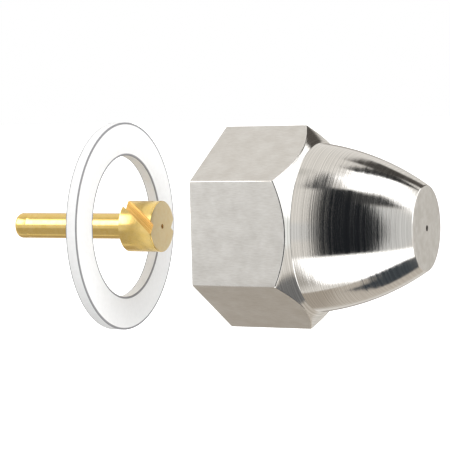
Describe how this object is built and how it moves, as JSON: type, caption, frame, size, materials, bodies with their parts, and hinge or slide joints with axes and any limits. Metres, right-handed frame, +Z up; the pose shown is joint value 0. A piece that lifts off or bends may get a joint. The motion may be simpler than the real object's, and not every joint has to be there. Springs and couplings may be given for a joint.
{
  "type": "oil burner nozzle",
  "caption": "Hexagon-bodied oil burner nozzle with an ogive nose, a slotted swirl core and a flat sealing washer, laid out apart on one axis.",
  "frame": {"origin": "centre of the body's flat back face, on the nozzle's axis", "axes": "+X along the axis in the direction of the spray, +Z up through a corner of the hexagon, -Y and +Y out of two of its flats"},
  "size_m": [0.0495, 0.0232, 0.0232],
  "materials": {
    "stainless_steel": "bright turned",
    "brass": "turned",
    "white_ptfe": "matt"
  },
  "bodies": {
    "body": {"nozzle_body": "stainless_steel"},
    "core": {"swirl_core": "brass"},
    "washer": {"gasket": "white_ptfe"}
  },
  "joints": [
    {"name": "core_slide", "type": "slide", "parent": "body", "child": "core", "axis": [1, 0, 0], "range_m": [0, 0.02838]},
    {"name": "gasket_slide", "type": "slide", "parent": "body", "child": "washer", "axis": [1, 0, 0], "range_m": [0, 0.01258]}
  ]
}
